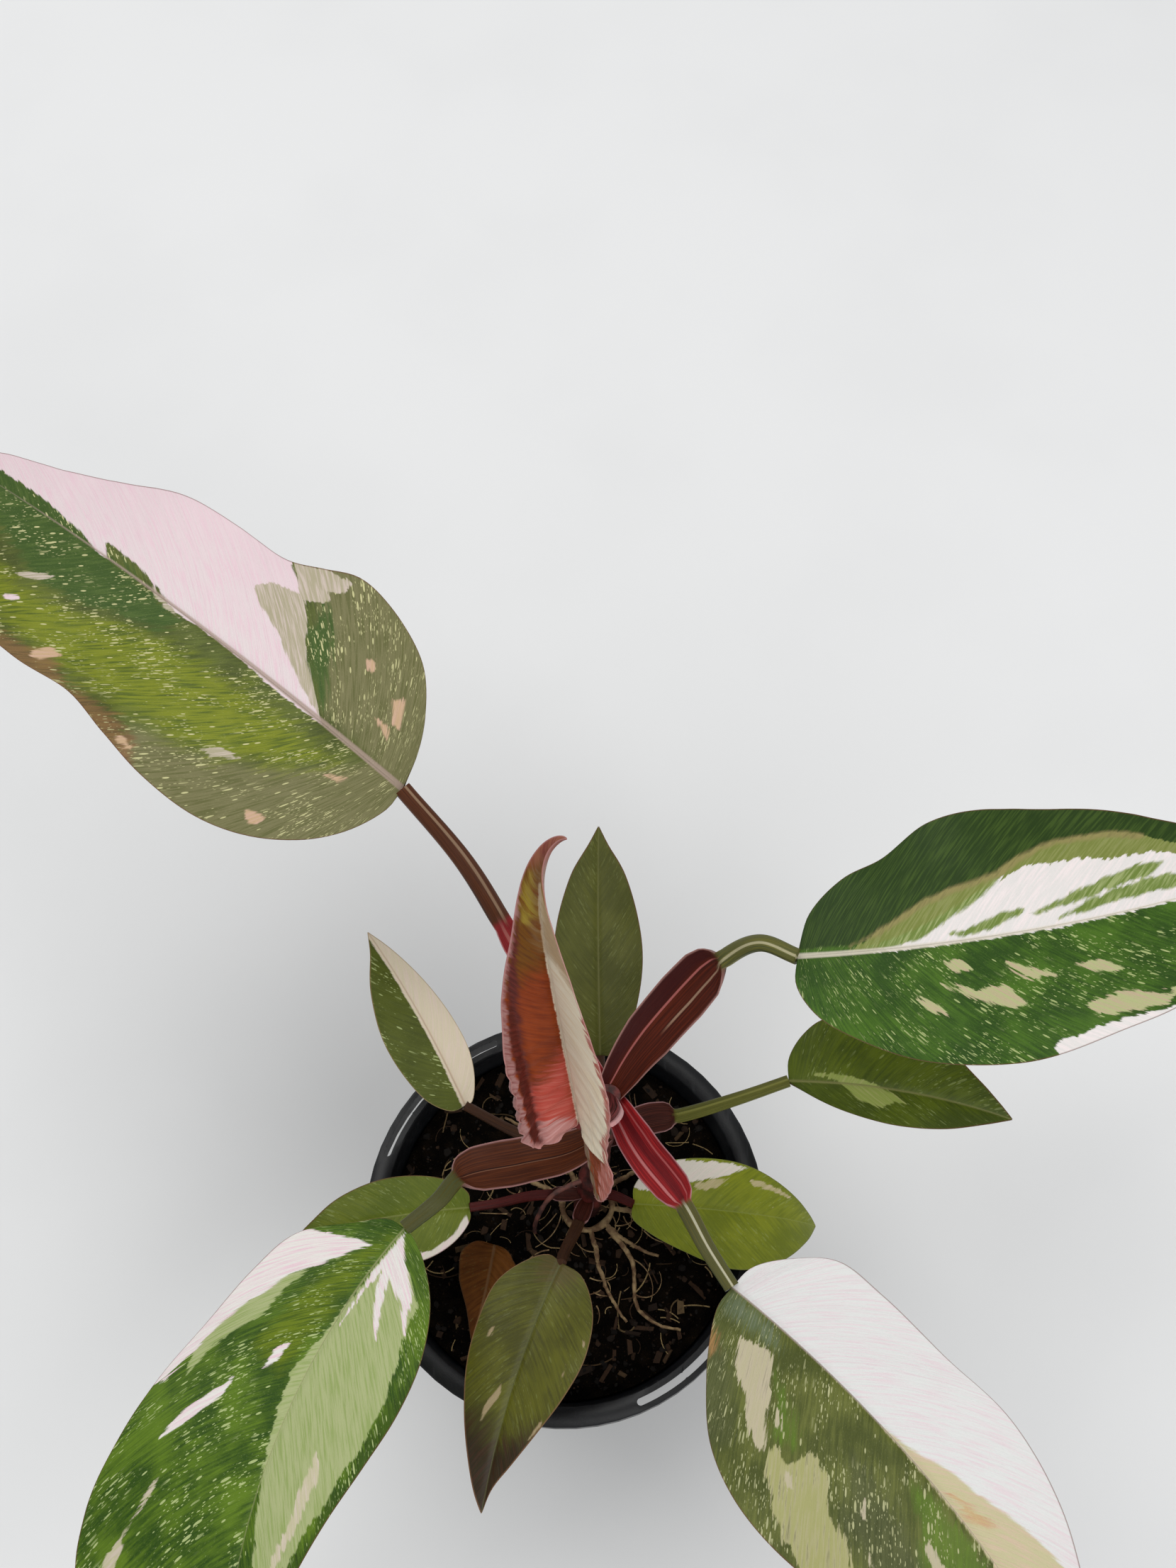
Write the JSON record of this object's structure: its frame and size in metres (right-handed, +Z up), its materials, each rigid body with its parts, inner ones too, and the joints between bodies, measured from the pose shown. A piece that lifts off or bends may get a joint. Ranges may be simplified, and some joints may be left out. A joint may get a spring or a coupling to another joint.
{
  "type": "potted variegated red philodendron",
  "caption": "Variegated red philodendron, a plant with broad leaves on sheathed stalks round a short stem, rooted in soil in a round nursery pot.",
  "frame": {"origin": "centre of the pot's flat underside", "axes": "+Z up, +X to the plant's right and +Y to its back as the picture shows it"},
  "size_m": [0.3909, 0.3745, 0.2717],
  "materials": {
    "pot": "matte black moulded plastic with a faint blue-grey sheen",
    "soil": "near-black crumbly peat",
    "stem": "dark red-brown, smooth",
    "petiole_olive": "olive stalk, the sheath maroon with pink margins",
    "petiole_red": "red-brown stalk",
    "leaf_variegated": "satin leaf, green with white, pink and lime sectors and fine pale flecks",
    "leaf_young": "soft satin young leaf, orange-red to pink with a cream side",
    "leaf_dry": "dry orange-brown leaf",
    "root": "dry tan to red-brown root"
  },
  "bodies": {
    "root": {"pot": "pot", "soil": "soil", "stem": "stem", "petiole_right": "petiole_olive", "petiole_front_right": "petiole_olive", "petiole_front_left": "petiole_olive", "petiole_back_left": "petiole_red", "petiole_low_right": "petiole_olive", "petiole_low_back_left": "petiole_red", "petiole_front": "petiole_red", "petiole_small_right": "petiole_red", "petiole_small_left": "petiole_red", "petiole_back": "petiole_red", "petiole_new": "petiole_red", "blade_right": "leaf_variegated", "blade_front_right": "leaf_variegated", "blade_front_left": "leaf_variegated", "blade_back_left": "leaf_variegated", "blade_low_right": "leaf_variegated", "blade_low_back_left": "leaf_variegated", "blade_front": "leaf_variegated", "blade_small_right": "leaf_variegated", "blade_small_left": "leaf_variegated", "blade_back": "leaf_variegated", "blade_new": "leaf_young", "leaf_dead": "leaf_dry", "root_aerial": "root", "roots_ground": "root"}
  },
  "joints": []
}
